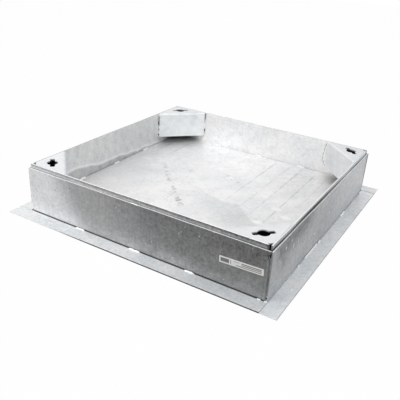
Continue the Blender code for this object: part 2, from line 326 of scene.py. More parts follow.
def make_piece(name, patches, nodes=(), dull=None, painted_shade_and_dirt=None):
    """Puts grids of points into one mesh and welds what they share. Each mark has an array for each grid."""
    points, faces, count = [], [], 0
    for patch in patches:
        rows, columns = patch.shape[:2]
        points.append(patch.reshape(-1, 3))
        faces.append(grid_faces(rows, columns) + count)
        count += rows * columns
    mesh = bpy.data.meshes.new(name)
    mesh.from_pydata(np.concatenate(points).tolist(), [], np.concatenate(faces).tolist())
    for mark, given in (("dull", dull), ("painted_shade_and_dirt", painted_shade_and_dirt)):
        given = given or [0.0] * len(patches)
        values = np.concatenate([np.broadcast_to(g, p.shape[:2]).ravel() for g, p in zip(given, patches)])
        mesh.attributes.new(mark, "FLOAT", "POINT").data.foreach_set("value", values.astype(np.float32))
    shape = bmesh.new()
    shape.from_mesh(mesh)
    bmesh.ops.remove_doubles(shape, verts=shape.verts, dist=MERGE_DISTANCE)
    shape.to_mesh(mesh)
    shape.free()
    mesh.shade_smooth()
    piece = new_object(name, mesh)
    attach(piece, "root")
    if nodes:
        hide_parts(*nodes)
    pieces[piece.name] = piece
    return piece


def thicken(piece, thickness=SHEET, edge=EDGE_ROUND, inner=0, rim=0):
    """Gives a sheet its thickness, half to each side, and rounds its cut edges. The finish of its inner
    side and of its rim is that many material slots further on."""
    wall = piece.modifiers.new("sheet_thickness", "SOLIDIFY")
    wall.thickness = thickness
    wall.offset = 0
    wall.use_even_offset = True
    wall.material_offset = inner
    wall.material_offset_rim = rim
    rounding = piece.modifiers.new("zinc_rounded_edges", "BEVEL")
    rounding.width = edge
    rounding.segments = EDGE_STEPS
    rounding.limit_method = "ANGLE"
    rounding.angle_limit = radians(50)
    rounding.harden_normals = True


print("cut edges rounded by", EDGE_ROUND, "m")

# %% [markdown]
# ## Frame sides
# Each side of the frame is one strip of sheet folded to an L: an upright wall, a soft fold and a ledge
# turned inwards, which the tray rests on. It is a profile in Y and Z carried along X. The ledge is cut at
# 45 degrees at both ends so that four of them meet, and the wall butts against its neighbour.

# %% Frame sides
FRAME_HALF = -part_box("frame_side_front")[0].y
FRAME_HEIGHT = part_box("frame_side_front")[1].z
WALL_INSIDE = FRAME_HALF - SHEET
LEDGE_REACH = FRAME_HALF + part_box("frame_side_front")[1].y
FOLD_RADIUS = 0.0055
FOLD_MARGIN = 0.0002
BUTT_GAP = 0.0009
RELIEF_DEPTH, RELIEF_TOP, RELIEF_FOOT = 0.006, 0.017, 0.006
NOTCH_DEPTH, NOTCH_MIDDLE, NOTCH_WIDTH = 0.0042, 0.1085, 0.0045
WALL_GRID = 0.0037
FOLD_STEPS, LEDGE_STEPS = 8, 6


def l_profile():
    """Middle of the sheet from the ledge's tip, along the ledge, round a quarter circle and up the wall."""
    y_wall, z_ledge = -FRAME_HALF + SHEET / 2, SHEET / 2
    ledge = np.linspace(-FRAME_HALF + LEDGE_REACH, y_wall + FOLD_RADIUS, LEDGE_STEPS + 1)[:-1]
    angle = np.linspace(0, pi / 2, FOLD_STEPS + 1)
    wall = with_fine_ends(z_ledge + FOLD_RADIUS, FRAME_HEIGHT, WALL_GRID)[1:]
    y = [ledge, y_wall + FOLD_RADIUS * (1 - np.sin(angle)), np.full_like(wall, y_wall)]
    z = [np.full_like(ledge, z_ledge), z_ledge + FOLD_RADIUS * (1 - np.cos(angle)), wall]
    return np.concatenate(y)[:, None], np.concatenate(z)[:, None]


def frame_wave(x, z, side):
    """Dents of one frame wall. They die out towards the fold, which holds the sheet straight."""
    return waviness(x, z, 0.0011, 10 + side) * ramp(z, 0.006, 0.05)


def seam_gap(z, side):
    """How far a wall's end stops short: unevenly, and at the front right corner with a burnt notch."""
    gap = BUTT_GAP + np.abs(waviness(z, 0 * z, 0.0013, 70 + side, 0.012, 0.05))
    return gap + (NOTCH_DEPTH * bell(z, NOTCH_MIDDLE, NOTCH_WIDTH) if side == 0 else 0)


def frame_side(side):
    """The profile carried along X between its two ends. On the ledge the ends follow the mitre, x = y, and
    the wall's start is cut back in a soft curve just above the fold."""
    y, z = l_profile()
    on_wall = y < -WALL_INSIDE + FOLD_MARGIN
    start = np.where(on_wall, -FRAME_HALF + RELIEF_DEPTH * ramp(z, RELIEF_TOP, RELIEF_FOOT), y)
    end = np.where(on_wall, WALL_INSIDE - seam_gap(z, side), -y - BUTT_GAP)
    columns = with_fine_ends(-FRAME_HALF, FRAME_HALF, WALL_GRID)
    x = start + (end - start) * (columns + FRAME_HALF) / (2 * FRAME_HALF)
    y, z = y + 0 * x, z + 0 * x
    return np.stack([x, y - frame_wave(x, z, side) * on_wall, z], axis=-1)


print("frame side", round(2 * FRAME_HALF, 4), "m long,", round(FRAME_HEIGHT, 4), "m high")

# %% [markdown]
# The front wall turns from bright to dark over an edge that leans to the right towards the bottom, and is
# lighter low down: painted light and shade. The right wall has painted shade high at its near end and a
# painted shadow high at its far end. The photograph doesn't show the other two.

# %% Tones of the frame sides
WALL_LEAST = 0.13
# Spots of painted shade on the right wall, the last one a painted shadow high at its far end.
RIGHT_WALL_SPOTS = (
    (0.32, -0.26, 0.108, 0.06, 0.04), (0.42, -0.165, 0.11, 0.065, 0.035),
    (0.1, -0.02, 0.07, 0.06, 0.03), (0.36, 0.325, 0.112, 0.018, 0.018))
RIGHT_WALL_STREAK = ((-0.3, 0.118), (-0.262, 0.055))


def wall_tone(x, z, side):
    """The tone of one wall, where h is the share of its height. 0 is its brightest end. On the front and
    right
    walls it is painted light and shade: the front darkens to the right and upwards, both are lighter low
    down, and the right wall has spots of painted shade.
    """
    h = z / FRAME_HEIGHT
    if side == 0:
        # Painted light and shade on the front wall.
        leaning = x + 0.07 * (h - 0.5)
        ends = 0.56 * ramp(leaning, -0.265, -0.14) + 0.22 * ramp(leaning, -0.15, 0.14)
        upper = 0.11 * (h - 0.5) * ramp(x, -0.25, -0.05) + 0.03 * ramp(x, 0.05, 0.2)
        painted_low_light = 0.11 * ramp(h, 0.36, 0.04) * ramp(x, -0.08, 0.16)
        light_line = 0.1 * bell(x, FRAME_HALF - 0.0074, 0.0014)
        return ends + upper - painted_low_light - light_line + 0.05 * near_spot(x, z, (0.28, 0.1), 0.08, 0.03)
    if side == 1:
        # Painted light and shade on the right wall.
        painted_low_light = 0.07 * ramp(h, 0.65, 0.15) * ramp(x, -0.05, -0.28)
        streak = 0.12 * near_path(x, z, RIGHT_WALL_STREAK, 0.012)
        return (0.415 - 0.25 * ramp(x, -0.08, 0.25) + 0.04 * (h - 0.4) - painted_low_light + streak
                + spots(x, z, RIGHT_WALL_SPOTS))
    return 0.42 + 0.12 * waviness(x, z, 1.0, 80 + side) + 0.15 * (h - 0.5)


def wall_shade_and_seam_dirt(x, z, side):
    """Painted shade, black, in the groove under the fold, on the cut end at the start and in the burnt notch,
    and dark dirt in the seam at the butting end."""
    groove = ramp(z, 0.0058, 0.0044) * (1.0 if side == 0 else 0.15)
    cut_end = 0.7 * ramp(x, 0.001 - FRAME_HALF, -FRAME_HALF)
    seam = 0.6 * ramp(x, FRAME_HALF - 0.0064, FRAME_HALF - 0.0048)
    notch = (side == 0) * near_spot(x, z, (0.3225, NOTCH_MIDDLE), 0.0035, 0.005)
    return np.maximum.reduce([groove, cut_end, seam, notch])


for side, name in enumerate(SIDES):
    patch = frame_side(side)
    x, _, z = np.moveaxis(patch, -1, 0)
    # The tone: painted light and shade on the front and right walls.
    dull = WALL_LEAST + (1 - WALL_LEAST) * wall_tone(x, z, side)
    # Painted shade in the groove, on the cut end and in the notch, and dirt in the seam.
    piece = make_piece(f"frame_wall_{name}", [turned(patch, side)], [f"frame_side_{name}"],
                       dull=[dull], painted_shade_and_dirt=[wall_shade_and_seam_dirt(x, z, side)])
    thicken(piece, rim=1)
print("frame sides", list(pieces), "ledge", round(LEDGE_REACH, 4))

# %% [markdown]
# ## Foot bars
# Four flat bars lie round the outside of the frame. Each starts flush with the outside at one corner and
# butts against its neighbour at the next. A flat bar is a grid of two straight parameters.

# %% Foot bars
FOOT_OUTSIDE = -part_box("foot_bar_front")[0].y
FOOT_INSIDE = 0.3312
FOOT_GAP = 0.0006
FOOT_GRID_ALONG, FOOT_GRID_ACROSS = 0.005, 0.0045


def foot_bar(side):
    """A flat grid, lifted a little off the ground here and there."""
    outside = HELD_BACK - FOOT_OUTSIDE
    x, y = np.meshgrid(with_fine_ends(outside, FOOT_INSIDE - FOOT_GAP, FOOT_GRID_ALONG),
                       with_fine_ends(outside, -FOOT_INSIDE, FOOT_GRID_ACROSS))
    z = SHEET / 2 + np.abs(waviness(x, y, 0.0006, 20 + side))
    return np.stack([x, y, z], axis=-1)


def foot_tone_and_painted_light(x, side):
    """Painted light and shade: along the front the bar is darkest near the left end, where most light falls
    on it, lighter in the middle and darker again to the right; the right bar darkens behind its middle and is
    lighter at its back end.
    """
    if side == 0:
        return (0.3 + 0.24 * ramp(x, -0.37, -0.27) - 0.34 * ramp(x, -0.2, -0.03)
                + 0.28 * ramp(x, -0.03, 0.2) - 0.15 * ramp(x, 0.24, 0.34))
    if side == 1:
        return (0.26 - 0.04 * ramp(x, -0.3, -0.1) + 0.25 * ramp(x, 0.0, 0.2)
                - 0.28 * ramp(x, 0.24, 0.34))
    return 0.3 + 0 * x


def foot_painted_shade(x, y, side):
    """Painted shade: black in the groove along the wall, and on the outer cut edge, which at the front is
    clean at the left end."""
    groove = ramp(y, -FOOT_INSIDE - 0.0012, -FOOT_INSIDE)
    outer = ramp(y, 0.0008 - FOOT_OUTSIDE, -FOOT_OUTSIDE)
    return np.maximum(groove, outer * (ramp(x, -0.25, -0.1) if side == 0 else 0.6))


for side, name in enumerate(SIDES):
    patch = foot_bar(side)
    x, y, _ = np.moveaxis(patch, -1, 0)
    # Painted light and shade along the bar, and painted shade in the groove and on the outer edge.
    piece = make_piece(f"foot_strip_{name}", [turned(patch, side)], [f"foot_bar_{name}"],
                       dull=[foot_tone_and_painted_light(x, side)], painted_shade_and_dirt=[foot_painted_shade(x, y, side)])
    thicken(piece, rim=1)
print("foot", round(FOOT_OUTSIDE * 2, 4), "m square outside")

# %% [markdown]
# ## Tray walls
# The tray is a floor plate inside four flat walls that stand a little higher than the frame. A wall is an
# upright grid. Its butting end stops short, most of all above the frame, which leaves the corner open.

# %% Tray walls
TRAY_HALF = -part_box("tray_wall_front")[0].y
TRAY_SEAT, RIM_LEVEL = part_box("tray_wall_front")[0].z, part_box("tray_wall_front")[1].z
TRAY_INSIDE = TRAY_HALF - SHEET
CORNER_NOTCH, OPEN_CORNER, OPEN_CORNER_DEPTH = 0.0022, 0.0024, 0.006


def tray_wall(side):
    """The grid of one wall, with dents less than half as deep as the play between tray and frame. Only the
    front and the left one are cut back further above the frame."""
    z = with_fine_ends(TRAY_SEAT, RIM_LEVEL - HELD_BACK, WALL_GRID)[:, None]
    above = ramp(z, FRAME_HEIGHT - OPEN_CORNER_DEPTH, FRAME_HEIGHT) * (side in (0, 3))
    share = (with_fine_ends(-TRAY_HALF, TRAY_HALF, WALL_GRID) + TRAY_HALF) / (2 * TRAY_HALF)
    x = -TRAY_HALF + (TRAY_HALF + TRAY_INSIDE - (CORNER_NOTCH + OPEN_CORNER * above)) * share
    z = z + 0 * x
    dents = waviness(x, z, 0.0009, 30 + side) * ramp(z, 0.01, 0.05)
    return np.stack([x, -TRAY_HALF + SHEET / 2 - dents, z], axis=-1)


print("tray wall", round(2 * TRAY_HALF, 4), "m long,", round(RIM_LEVEL - TRAY_SEAT, 4), "m high")

# %% [markdown]
# The tone is that of the face that shows: the outer one above the frame for the front and right walls, the
# inner one for the others. It is painted light and shade: a dark painted reflection on the outer faces, and
# on the left wall a painted shadow below a ragged edge. The closed corners get painted shade.

# %% Tones of the tray walls
PAINTED_SHADOW_EDGE = (
    (-0.34, 0.066), (-0.19, 0.064), (-0.12, 0.056), (-0.06, 0.049), (0.0, 0.046), (0.055, 0.043),
    (0.13, 0.036), (0.34, 0.031))
RIM_TONES = (0.0, 0.0, 0.55, 0.75)
LIP_ENDS, LIP_LEVELS = (-0.33, -0.12), (0.1235, 0.129)


def tray_tone(x, z, side):
    """The tone of one wall below its rim, painted light and shade: a dark painted reflection on the outer
    faces of the front and right walls, painted shade low on the right one towards the front, and on the left
    wall a painted shadow below a ragged edge, lighter towards the back.
    """
    if side == 0:
        return (0.24 + 0.33 * ramp(x, -0.33, -0.1) + 0.25 * ramp(x, -0.1, 0.3)
                + 60 * (z - 0.1262))
    if side == 1:
        shade = ramp(np.interp(x, LIP_ENDS, LIP_LEVELS) - z, 0, 0.006) * ramp(x, 0.13, -0.14)
        return 0.42 - 0.22 * ramp(x, -0.33, 0.25) + 0.7 * shade
    if side == 2:
        return (0.18 - 0.12 * ramp(x, -0.15, 0.25) + 0.14 * near_spot(x, z, (0, 0.07), 0.14, 1)
                + 0.08 * ramp(z, 0.05, 0.03))
    # Painted shadow below a ragged edge on the left wall, with a light line just above it.
    shadow_edge = np.interp(-x, *zip(*PAINTED_SHADOW_EDGE)) + waviness(x, 0 * x, 0.006, 36, 0.02, 0.11)
    shade = ramp(shadow_edge - z, -0.001, 0.003) - bell(z, shadow_edge + 0.003, 0.0035)
    return (0.36 + 0.34 * shade - 0.2 * ramp(x, -0.05, -0.3)
            + 0.16 * waviness(x, z, 1.0, 37, 0.012, 0.05))


def tray_tone_and_painted_light(x, z, side):
    """The wall's tone, and a tone of its own on the last millimetre below the rim."""
    rim = ramp(z, RIM_LEVEL - 0.001, RIM_LEVEL)
    return tray_tone(x, z, side) * (1 - rim) + RIM_TONES[side] * rim


def corner_painted_shade(x, y, z):
    """Painted shade in the closed corners: all black inside the boxes, above the lower edge of their faces,
    and fading in below that, less so at the back right."""
    reach = np.abs(x) + np.abs(y)
    inside = ramp(reach, 0.536, 0.546) * ramp(z, 0.052, 0.06) * ramp(z, 0.121, 0.116)
    back_right = (x > 0) & (y > 0)
    below = ramp(reach - 0.02 * back_right, 0.54, 0.615) * ramp(z, 0.06, 0.052)
    return np.maximum(inside, below * np.where(back_right, 0.36, 0.9))


for side, name in enumerate(SIDES):
    flat = tray_wall(side)
    patch = turned(flat, side)
    x, _, z = np.moveaxis(flat, -1, 0)
    # Painted shade at both ends of the front and right walls, where the corners stand open, with that of the
    # closed corners.
    ends = (ramp(x, TRAY_INSIDE - 0.008, TRAY_INSIDE - 0.0055)
            + ramp(x, 0.0012 - TRAY_HALF, -TRAY_HALF)) * (side in (0, 1))
    ash = np.maximum(corner_painted_shade(*np.moveaxis(patch, -1, 0)), 0.8 * ends)
    piece = make_piece(f"tray_side_{name}", [patch], [f"tray_wall_{name}"],
                       dull=[tray_tone_and_painted_light(x, z, side)], painted_shade_and_dirt=[ash])
    thicken(piece, inner=1, rim=1)
print("tray", round(TRAY_INSIDE * 2, 4), "m square inside")

# %% [markdown]
# ## Tray floor
# The floor plate is pulled down slightly along the lines where the stiffeners under it are welded on, so
# its columns are closer together there. Its level is written down, since the CAD box holds its welds too.

# %% Tray floor
FLOOR_TOP = 0.030502
FLOOR_PLAY = 0.0006
FLOOR_REACH = TRAY_INSIDE - FLOOR_PLAY
FLOOR_COLUMNS, FLOOR_ROWS = 145, 170
RIB_PLACES = np.linspace(-0.2625, 0.2625, 7)
RIB_FLANGE = 0.024
WELD_LINES = np.sort(np.concatenate([RIB_PLACES - RIB_FLANGE, RIB_PLACES + RIB_FLANGE]))
LINE_DEPTH, LINE_WIDTH = 0.00035, 0.0035
LINE_COLUMNS = np.array([-0.0035, -0.0015, 0, 0.0015, 0.0035])
FLOOR_DENTS, FLOOR_SAG = 0.0008, 0.0003


def tray_floor():
    """A flat grid, lowered by a narrow bell curve along each weld line and by slow dents between them."""
    even, rows = (np.linspace(-FLOOR_REACH, FLOOR_REACH, count) for count in (FLOOR_COLUMNS, FLOOR_ROWS))
    near_lines = (WELD_LINES[:, None] + LINE_COLUMNS).ravel()
    x, y = np.meshgrid(np.unique(np.concatenate([even, near_lines]).round(5)), rows)
    pull = bell(x[..., None], WELD_LINES, LINE_WIDTH).sum(axis=-1) * (0.5 + 0.5 * np.sin(9 * y + 3 * x))
    held = ramp(FLOOR_REACH - np.maximum(abs(x), abs(y)), 0, 0.03)
    z = FLOOR_TOP - SHEET / 2 - held * (LINE_DEPTH * pull + waviness(x, y, FLOOR_DENTS, 41) + FLOOR_SAG)
    return np.stack([x, y, z], axis=-1)


print("floor", round(2 * FLOOR_REACH, 4), "m square, weld lines", len(WELD_LINES))

# %% [markdown]
# Its marks are a darker patch with a sharp back edge, scuffs broken up into dabs, pale splashes of zinc,
# fine scratches, and thin dull lines over the stiffeners. Painted shade darkens it towards its sides and the
# back right corner.

# %% Marks of the tray floor
FLOOR_SPOTS = ((0.12, 0.2, 0.2, 0.09, 0.07), (0.11, 0.0, 0.24, 0.18, 0.09), (0.16, 0.12, -0.1, 0.06, 0.035))
PATCH_EDGE = (
    (-0.2, 0.05), (-0.075, 0.045), (-0.029, -0.002), (0.025, -0.025), (0.068, -0.035),
    (0.108, -0.026), (0.135, -0.055), (0.175, -0.091), (0.23, -0.095))
SCUFF_PATHS = (
    (0.5, (-0.205, 0.08), (-0.19, 0.06)), (0.55, (-0.165, 0.035), (-0.128, -0.013)),
    (0.6, (-0.095, -0.04), (-0.074, -0.055)), (0.7, (-0.06, -0.08), (-0.03, -0.107)),
    (0.95, (-0.034, -0.098), (-0.012, -0.122)), (0.35, (-0.07, -0.068), (-0.06, -0.08)),
    (0.4, (-0.015, 0.123), (0.039, 0.095)), (0.45, (-0.115, 0.085), (-0.1, 0.08)))
SCUFF_WIDTH = 0.0065
SPRINKLED_PATH = ((-0.13, 0.01), (-0.04, -0.12))
SPLASH_PATH = ((-0.08, 0.054), (-0.042, 0.018), (-0.02, 0.006))
PALE_SPOTS = (
    (-0.271, 0.083), (-0.226, 0.052), (-0.098, 0.056), (0.005, 0.11), (0.14, 0.06), (0.195, 0.01),
    (0.185, -0.085), (-0.13, 0.115), (0.235, -0.02))
LINE_MARKS = (
    (0.0635, 0.299, -0.016, 0.3), (0.1115, 0.29, -0.029, 0.22), (0.151, 0.308, -0.046, 0.28),
    (0.199, 0.288, -0.075, 0.3), (-0.2385, 0.292, 0.154, 0.35), (-0.2865, 0.255, 0.144, 0.3),
    (0.2385, 0.3, 0.05, 0.12))
LINE_MARK_GAIN = 1.7


def floor_shade(x, y):
    """Painted shade, darker towards the left, the right, the front and the back right corner; then a darker
    patch, which fades towards the front, and a few darker spots.
    """
    tone = (0.05 + 0.11 * ramp(x, -0.08, -0.31) + 0.15 * ramp(x, 0.02, 0.3)
            + 0.16 * ramp(x + y, 0.15, 0.58) + 0.05 * ramp(y, -0.05, -0.3))
    before = np.interp(x, *zip(*PATCH_EDGE)) + waviness(x, y, 0.006, 43, 0.02, 0.06) - y
    patch = ramp(before, 0, 0.006) * np.exp(-np.maximum(before, 0) / 0.075)
    patch = patch * ramp(x, -0.1, 0.05) * ramp(x, 0.235, 0.19)
    return tone + spots(x, y, FLOOR_SPOTS) + 0.25 * patch


def floor_scuffs(x, y):
    """Paths broken up into dabs, and specks sprinkled round the longest of them."""
    dabs = ramp(waviness(x, 1.5 * y, 1.0, 44, 0.008, 0.026, 12), 0.02, 0.2)
    specks = ramp(waviness(x, y, 1.0, 48, 0.005, 0.014, 12), 0.2, 0.36)
    paths = sum(depth * near_path(x, y, path, SCUFF_WIDTH) for depth, *path in SCUFF_PATHS)
    return 1.6 * dabs * paths + 0.5 * specks * near_path(x, y, SPRINKLED_PATH, 0.035)


def floor_splashes(x, y):
    """One long splash of zinc and small ragged ones."""
    pale = 0.28 * near_path(x, y, SPLASH_PATH, 0.005)
    for i, spot in enumerate(PALE_SPOTS):
        ragged = waviness(x, y, 0.35, 45 + i, 0.012, 0.03) * near_spot(x, y, spot, 0.02, 0.02)
        pale = pale + 0.55 * ramp(near_spot(x, y, spot, 0.013, 0.008) + ragged, 0.35, 0.6)
    return pale


def floor_line_marks(x, y):
    """Thin dull lines. A row has the line's place, its back and front ends and its strength."""
    lines = 0 * x
    for place, back_end, front_end, strength in LINE_MARKS:
        reach = ramp(y, front_end - 0.02, front_end + 0.02) * ramp(y, back_end + 0.01, back_end - 0.01)
        uneven = 0.7 + waviness(y, 0 * y, 0.9, int(place * 1000) + 900, 0.02, 0.1)
        lines = lines + LINE_MARK_GAIN * strength * reach * uneven * bell(x, place, 0.0016)
    return np.clip(lines, 0, 1)


def floor_shade_and_marks(x, y):
    """All of them together, with clouds and scratches."""
    clouds = waviness(x, y, 1.0, 46, 0.02, 0.09, 8)
    scratches = ramp(waviness(x * 0.3 + y, (x - y * 0.3) * 0.1, 1.0, 47, 0.004, 0.012, 8), 0.35, 0.6)
    return (floor_shade(x, y) + floor_scuffs(x, y) - floor_splashes(x, y) + floor_line_marks(x, y)
            + 0.1 * clouds + 0.05 * scratches)


patch = tray_floor()
x, y, z = np.moveaxis(patch, -1, 0)
# Painted shade along the floor's left edge, by the wall, with that of the closed corners.
ash = np.maximum(corner_painted_shade(x, y, z), 0.35 * ramp(x, 0.004 - FLOOR_REACH, -FLOOR_REACH))
piece = make_piece("tray_base", [patch], ["tray_floor"], dull=[floor_shade_and_marks(x, y)], painted_shade_and_dirt=[ash])
thicken(piece)
print("tray", round(RIM_LEVEL - FLOOR_TOP, 4), "m deep")

# %% [markdown]
# ## Key boxes
# A triangular plate closes each corner, level with the rim, and its long edge is folded down into the
# tray. A key goes through the hole and is turned under the plate. The plate is one grid that runs round
# the hole: the first row is the hole's rim and the last is the plate's outline. The fold and the face are a
# second grid that shares its first row with the plate, so the two weld into one sheet.

# %% Key boxes
BOX_LEG = 0.113
BOX_HEIGHT = BOX_LEG / sqrt(2)
BOX_DEPTH = 0.078
BOX_FOLD_RADIUS = 0.0035
BOX_RELIEF = 0.0045
BOX_TIP = 0.0075
BOX_GAP = 0.0003
HOLE_MIDDLE = BOX_LEG * (1 - sqrt(0.5))
BORE_RADIUS, SLOT_HALF_LENGTH, SLOT_HALF_WIDTH, SLOT_SQUARENESS = 0.0135, 0.025, 0.006, 9
RING_STEPS, FACE_STEPS = 240, 13
RING_SHARES = np.array([0, 0.03, 0.1, 0.2, 0.35, 0.5, 0.66, 0.83, 1.0])
FOLD_LINE = SHEET / 2 + BOX_FOLD_RADIUS


def hole_radius(angle):
    """A circle, or a slot with round corners where that reaches further. The slot is the curve on which
    |x / half length|^n + |y / half width|^n = 1."""
    slot = (np.abs(np.cos(angle) / SLOT_HALF_LENGTH) ** SLOT_SQUARENESS
            + np.abs(np.sin(angle) / SLOT_HALF_WIDTH) ** SLOT_SQUARENESS) ** (-1 / SLOT_SQUARENESS)
    return np.maximum(BORE_RADIUS, slot)


def plate_radius(angle):
    """The distance to the nearest of the plate's four straight edges: d / cos(the angle between)."""
    towards = np.radians([-90, 45, 135, 90])
    slanting = (BOX_HEIGHT - HOLE_MIDDLE) / sqrt(2)
    distance = np.array([HOLE_MIDDLE - FOLD_LINE, slanting, slanting, BOX_HEIGHT - BOX_TIP - HOLE_MIDDLE])
    facing = np.cos(angle[:, None] - towards)
    return np.where(facing > 0.05, distance / np.maximum(facing, 0.05), 9.0).min(axis=1)


def key_box():
    """The plate's ring and the folded face, its long edge along X, the tip towards +Y and the top at 0."""
    fold_y, tip_y, wide = FOLD_LINE - HOLE_MIDDLE, BOX_HEIGHT - BOX_TIP - HOLE_MIDDLE, BOX_HEIGHT - FOLD_LINE
    corners = np.arctan2([fold_y, fold_y, tip_y, tip_y], [-wide, wide, BOX_TIP, -BOX_TIP])
    even = np.linspace(-pi, pi, RING_STEPS + 1)[:-1]
    angle = np.unique(np.concatenate([even, corners]).round(7))
    angle = np.append(angle, angle[0] + 2 * pi)
    rim, outline = hole_radius(angle), plate_radius(angle)
    reach = rim + RING_SHARES[:, None] * (outline - rim)
    x, y = reach * np.cos(angle), HOLE_MIDDLE + reach * np.sin(angle)
    plate = np.stack([x, y, 0 * reach - SHEET / 2], axis=-1)

    along = plate[-1][np.abs(plate[-1][:, 1] - FOLD_LINE) < 1e-6][:, 0]
    turn = np.linspace(0, pi / 2, FOLD_STEPS + 1)
    z_face = np.linspace(-FOLD_LINE, -BOX_DEPTH, FACE_STEPS + 1)[1:]
    y = np.append(FOLD_LINE - BOX_FOLD_RADIUS * np.sin(turn), 0 * z_face + SHEET / 2)[:, None] + 0 * along
    z = np.append(BOX_FOLD_RADIUS * np.cos(turn) - FOLD_LINE, z_face)[:, None] + 0 * along
    widen = (BOX_HEIGHT - BOX_RELIEF) / wide
    x = along * (1 + (widen - 1) * ramp(-z, 0, FOLD_LINE))
    face = np.stack([x, y, z], axis=-1)
    return plate[::-1], face[:, ::-1]


def box_place(points, corner):
    """Turns a key box towards its corner and moves it there."""
    towards = radians(-135 + 90 * corner)
    out = (TRAY_INSIDE - BOX_GAP) * sqrt(2) - BOX_HEIGHT
    c, s = cos(towards - pi / 2), sin(towards - pi / 2)
    x, y, z = np.moveaxis(points, -1, 0)
    return np.stack([c * x - s * y + out * cos(towards), s * x + c * y + out * sin(towards),
                     z + RIM_LEVEL], axis=-1)


CORNERS = ("front_left", "front_right", "back_right", "back_left")
# Painted light and shade: each corner's plate and face gets its own tone, lighter or darker as light falls
# there.
PLATE_TONES = (0.2, 0.42, 0.38, 0.28)
FACE_TONES = (0.4, 0.4, 0.24, 0.27)
for corner, name in enumerate(CORNERS):
    box = key_box()
    for patch in box:
        x, y, z = np.moveaxis(patch, -1, 0)
        y += waviness(x, z, 0.0008, 50 + corner, 0.05, 0.16) * ramp(-z, 0.008, 0.03)
    tones = [PLATE_TONES[corner] + 0.06 * ramp(box[0][..., 1], 0.012, 0.006),
             FACE_TONES[corner] - 0.3 * ramp(-z, 0.0735, 0.0775)
             + 0.34 * waviness(x, z, 1.0, 95 + corner, 0.018, 0.07, 14)]
    piece = make_piece(f"lifting_box_{name}", [box_place(patch, corner) for patch in box],
                       [f"key_box_{name}"], dull=tones)
    thicken(piece, inner=1)
print("key boxes, hole middle", round(HOLE_MIDDLE, 4), "from the fold")

# %% [markdown]
# ## Welds
# Short stitches hold the foot to the frame and the tray's walls to its floor, and rough tacks close the
# sides of the key boxes. A weld bead is a tube whose radius swells and sinks where each drop of metal
# froze: a ripple along it that bends back at the sides, a slower lumpiness, and round ends.

# %% Weld beads
RIPPLE_PITCH = 0.0022
BEAD_STEP, BEAD_FACETS = 0.0009, 14


def bead(length, radius, seed):
    """A tube along X. Its radius is radius * (1 - |t|^n)^(1/2) * (1 + ripple + lumps), with t from -1 to 1
    and an n that grows with the length."""
    rng = np.random.default_rng(seed)
    t = np.sin(np.linspace(-1, 1, max(9, int(length / BEAD_STEP))) * pi / 2)[:, None]
    around = np.linspace(0, 2 * pi, BEAD_FACETS + 1)[None, :]
    ends = np.sqrt(np.clip(1 - np.abs(t) ** (2 * max(1.0, length / (3 * radius))), 0, 1))
    phase = rng.uniform(0, 2 * pi, 4)
    ripple = 0.1 * np.cos(2 * pi * length * t / (2 * RIPPLE_PITCH) + 1.3 * np.cos(around) + phase[0])
    along = length * t
    lumps = 0.14 * np.sin(along * 260 + phase[1]) + 0.09 * np.sin(along * 610 + 2 * around + phase[2])
    r = radius * ends * (1 + ripple + lumps)
    bend = 0.12 * radius * np.sin(along * 170 + phase[3])
    return np.stack([t * length / 2 + 0 * around, bend + r * np.cos(around), r * np.sin(around)], axis=-1)


def stood_up(points):
    """Turns a bead that runs along X to run up along Z."""
    return points[..., [2, 1, 0]] * np.array([-1, 1, 1])


def moved(points, x, y, z):
    """The points shifted along the three axes."""
    return points + np.array([x, y, z])


def stitches(rows, side, seed, y, z, shift_share, lift_share):
    """Beads along one side, shifted and lifted by shares of their radius. A row has x, length and radius."""
    return [turned(moved(bead(length, radius, seed + 10 * side + i), x, y + shift_share * radius,
                                 z + lift_share * radius), side)
            for i, (x, length, radius) in enumerate(rows)]


print("weld ripples", RIPPLE_PITCH, "m apart")

# %% [markdown]
# The stitches lie where the photograph shows them at the front and right, and evenly on the other sides.
# Between those of the foot, a bead fills the root under the fold: pale zinc on three sides, and along the
# front a near-black one, a painted shade in the groove.

# %% Stitches and roots
FOOT_STITCHES = {
    "front": ((-0.1655, 0.027, 0.0023), (-0.002, 0.032, 0.0023), (0.146, 0.025, 0.0023),
              (0.3125, 0.009, 0.0018), (0.327, 0.006, 0.0016)),
    "right": ((-0.168, 0.01, 0.0024), (-0.0885, 0.08, 0.0017), (-0.034, 0.013, 0.0026),
              (0.146, 0.028, 0.0026), (0.313, 0.02, 0.0026)),
    "back": ((-0.165, 0.028, 0.0026), (-0.0066, 0.028, 0.0026), (0.145, 0.026, 0.0026),
             (0.313, 0.018, 0.0026)),
    "left": ((-0.165, 0.026, 0.0026), (-0.0066, 0.03, 0.0026), (0.145, 0.027, 0.0026),
             (0.313, 0.018, 0.0026))}
FLOOR_STITCHES = ((-0.139, 0.025, 0.0028), (0.0055, 0.024, 0.0028), (0.154, 0.023, 0.0028))
ROOT_RADIUS, ROOT_LENGTH, ROOT_MIDDLE, ROOT_INSET = 0.0016, 2 * FRAME_HALF - 0.009, -0.0015, 0.0008
ROOT_CLEARANCE, GROUND_CLEARANCE = 0.0001, 0.0002

for side, name in enumerate(SIDES):
    beads = stitches(FOOT_STITCHES[name], side, 60, -FRAME_HALF, SHEET, -0.95, 0.2)
    make_piece(f"foot_weld_{name}", beads)

for side, name in enumerate(SIDES):
    # A bead in the root along each side; the front one is finished near black, a painted shade in the groove.
    root = moved(bead(ROOT_LENGTH, ROOT_RADIUS, 400 + side), ROOT_MIDDLE, ROOT_INSET - FRAME_HALF,
                 ROOT_RADIUS + ROOT_CLEARANCE)
    root[..., 2] = np.maximum(root[..., 2], GROUND_CLEARANCE)
    make_piece(f"root_fill_{name}", [turned(root, side)])

